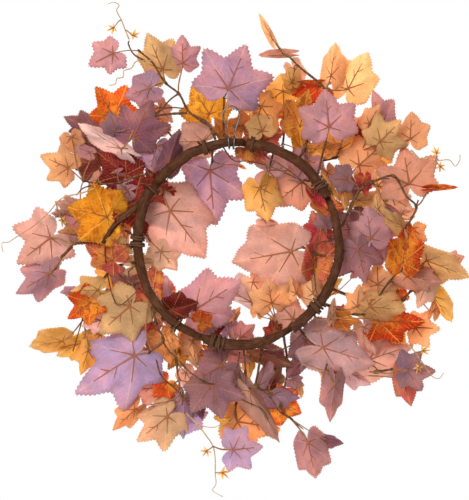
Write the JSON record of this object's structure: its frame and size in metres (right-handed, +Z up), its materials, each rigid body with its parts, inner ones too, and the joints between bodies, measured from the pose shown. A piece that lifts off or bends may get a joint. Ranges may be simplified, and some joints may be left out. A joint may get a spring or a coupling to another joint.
{
  "type": "autumn leaf door wreath",
  "caption": "Artificial autumn wreath: a ring of bark stems bound with wire, carrying lobed fabric leaf sprays and curling tendrils, with a wire hanging loop.",
  "frame": {"origin": "where the door hook carries the hanging loop, at the top of the loop's inside", "axes": "+Z up, +Y towards the door, so the leafy front faces -Y; +X to the right of someone who faces the leafy front"},
  "size_m": [0.6045, 0.0856, 0.645],
  "materials": {
    "moulded_bark": "matt dark brown moulded bark",
    "wrapped_wire": "paper-wrapped binding wire, matt",
    "galvanised_wire": "dull galvanised",
    "tendril_plastic": "satin tan plastic",
    "leaf_fabric_amber": "thin woven polyester, matt, see-through to strong light",
    "leaf_fabric_crimson": "thin woven polyester, matt, see-through to strong light",
    "leaf_fabric_lilac": "thin woven polyester, matt, see-through to strong light",
    "leaf_fabric_mauve": "thin woven polyester, matt, see-through to strong light",
    "leaf_fabric_orange": "thin woven polyester, matt, see-through to strong light",
    "leaf_fabric_pink_peach": "thin woven polyester, matt, see-through to strong light",
    "leaf_fabric_rose": "thin woven polyester, matt, see-through to strong light",
    "leaf_fabric_tan": "thin woven polyester, matt, see-through to strong light"
  },
  "bodies": {
    "wreath": {"ring_stem_left": "moulded_bark", "ring_stem_bottom": "moulded_bark", "ring_stem_right": "moulded_bark", "ring_stem_upper_right": "moulded_bark", "ring_stem_top": "moulded_bark", "tie_bottom": "wrapped_wire", "tie_lower_left": "wrapped_wire", "tie_left": "wrapped_wire", "tie_upper_left": "wrapped_wire", "tie_top_left": "wrapped_wire", "tie_top": "wrapped_wire", "tie_upper_right": "wrapped_wire", "tie_lower_right": "wrapped_wire", "top_spray": "leaf_fabric_mauve", "upper_left_spray": "leaf_fabric_mauve", "top_leaf_spray": "leaf_fabric_mauve", "top_middle_spray": "leaf_fabric_tan", "left_upper_spray": "leaf_fabric_orange", "left_crimson_spray": "leaf_fabric_crimson", "left_large_spray": "leaf_fabric_mauve", "left_low_spray": "leaf_fabric_tan", "lower_left_beige_spray": "leaf_fabric_tan", "lower_left_lilac_spray": "leaf_fabric_lilac", "bottom_left_spray": "leaf_fabric_tan", "bottom_middle_spray": "leaf_fabric_rose", "bottom_rose_spray": "leaf_fabric_rose", "bottom_fan_spray": "leaf_fabric_pink_peach", "bottom_right_spray": "leaf_fabric_rose", "lower_right_pink_spray": "leaf_fabric_mauve", "lower_right_mauve_spray": "leaf_fabric_mauve", "right_low_spray": "leaf_fabric_orange", "right_tan_spray": "leaf_fabric_tan", "lower_right_crimson_spray": "leaf_fabric_mauve", "right_spray": "leaf_fabric_pink_peach", "right_mauve_spray": "leaf_fabric_mauve", "right_upper_spray": "leaf_fabric_orange", "right_tan_upper_spray": "leaf_fabric_tan", "upper_right_mauve_spray": "leaf_fabric_mauve", "upper_right_spray": "leaf_fabric_tan", "inner_left_spray": "leaf_fabric_pink_peach", "inner_top_spray": "leaf_fabric_mauve", "inner_right_spray": "leaf_fabric_pink_peach", "inner_amber_spray": "leaf_fabric_amber", "inner_large_spray": "leaf_fabric_pink_peach", "inner_low_spray": "leaf_fabric_orange", "inner_mauve_spray": "leaf_fabric_mauve", "inner_tan_spray": "leaf_fabric_tan"},
    "hanging_loop": {"hanging_loop": "galvanised_wire"},
    "upper_left_front_spray": {"upper_left_front_spray": "leaf_fabric_amber"},
    "left_orange_spray": {"left_orange_spray": "leaf_fabric_tan"},
    "bottom_orange_spray": {"bottom_orange_spray": "leaf_fabric_amber"},
    "right_peach_spray": {"right_peach_spray": "leaf_fabric_orange"},
    "upper_right_front_spray": {"upper_right_front_spray": "leaf_fabric_amber"},
    "tendril_top": {"tendril_top": "tendril_plastic"},
    "tendril_left": {"tendril_left": "tendril_plastic"},
    "tendril_right": {"tendril_right": "tendril_plastic"},
    "tendril_lower_right": {"tendril_lower_right": "tendril_plastic"},
    "tendril_bottom": {"tendril_bottom": "tendril_plastic"}
  },
  "joints": [
    {"name": "hanging_loop_hinge", "type": "hinge", "parent": "wreath", "child": "hanging_loop", "pos_m": [0, 0, -0.046], "axis": [1, 0, 0], "range_deg": [-75, 25]},
    {"name": "tendril_top_sway", "type": "hinge", "parent": "wreath", "child": "tendril_top", "pos_m": [0.133, -0.003, 0.088], "axis": [0, 1, 0], "range_deg": [-10, 10]},
    {"name": "tendril_left_sway", "type": "hinge", "parent": "wreath", "child": "tendril_left", "pos_m": [0.177, 0.001, -0.105], "axis": [0, 1, 0], "range_deg": [-6, 6]},
    {"name": "tendril_right_sway", "type": "hinge", "parent": "wreath", "child": "tendril_right", "pos_m": [-0.234, -0.002, -0.056], "axis": [0, 1, 0], "range_deg": [-10, 10]},
    {"name": "tendril_lower_right_sway", "type": "hinge", "parent": "wreath", "child": "tendril_lower_right", "pos_m": [-0.228, -0.003, -0.307], "axis": [0, 1, 0], "range_deg": [-10, 10]},
    {"name": "tendril_bottom_sway", "type": "hinge", "parent": "wreath", "child": "tendril_bottom", "pos_m": [0.059, 0.001, -0.398], "axis": [0, 1, 0], "range_deg": [-8, 8]},
    {"name": "upper_left_front_spray_fold", "type": "hinge", "parent": "wreath", "child": "upper_left_front_spray", "pos_m": [0.058, -0.009, -0.06], "axis": [0.871, 0, -0.4913], "range_deg": [0, 10]},
    {"name": "upper_right_front_spray_fold", "type": "hinge", "parent": "wreath", "child": "upper_right_front_spray", "pos_m": [-0.068, -0.009, -0.052], "axis": [0.9015, 0, 0.4327], "range_deg": [0, 20]},
    {"name": "bottom_orange_spray_fold", "type": "hinge", "parent": "wreath", "child": "bottom_orange_spray", "pos_m": [-0.027, -0.009, -0.31], "axis": [-0.99, 0, 0.1414], "range_deg": [0, 20]},
    {"name": "right_peach_spray_fold", "type": "hinge", "parent": "wreath", "child": "right_peach_spray", "pos_m": [-0.123, -0.009, -0.232], "axis": [-0.4315, 0, 0.9021], "range_deg": [0, 20]},
    {"name": "left_orange_spray_fold", "type": "hinge", "parent": "wreath", "child": "left_orange_spray", "pos_m": [0.129, -0.009, -0.168], "axis": [0.0656, 0, -0.9978], "range_deg": [0, 15]}
  ]
}
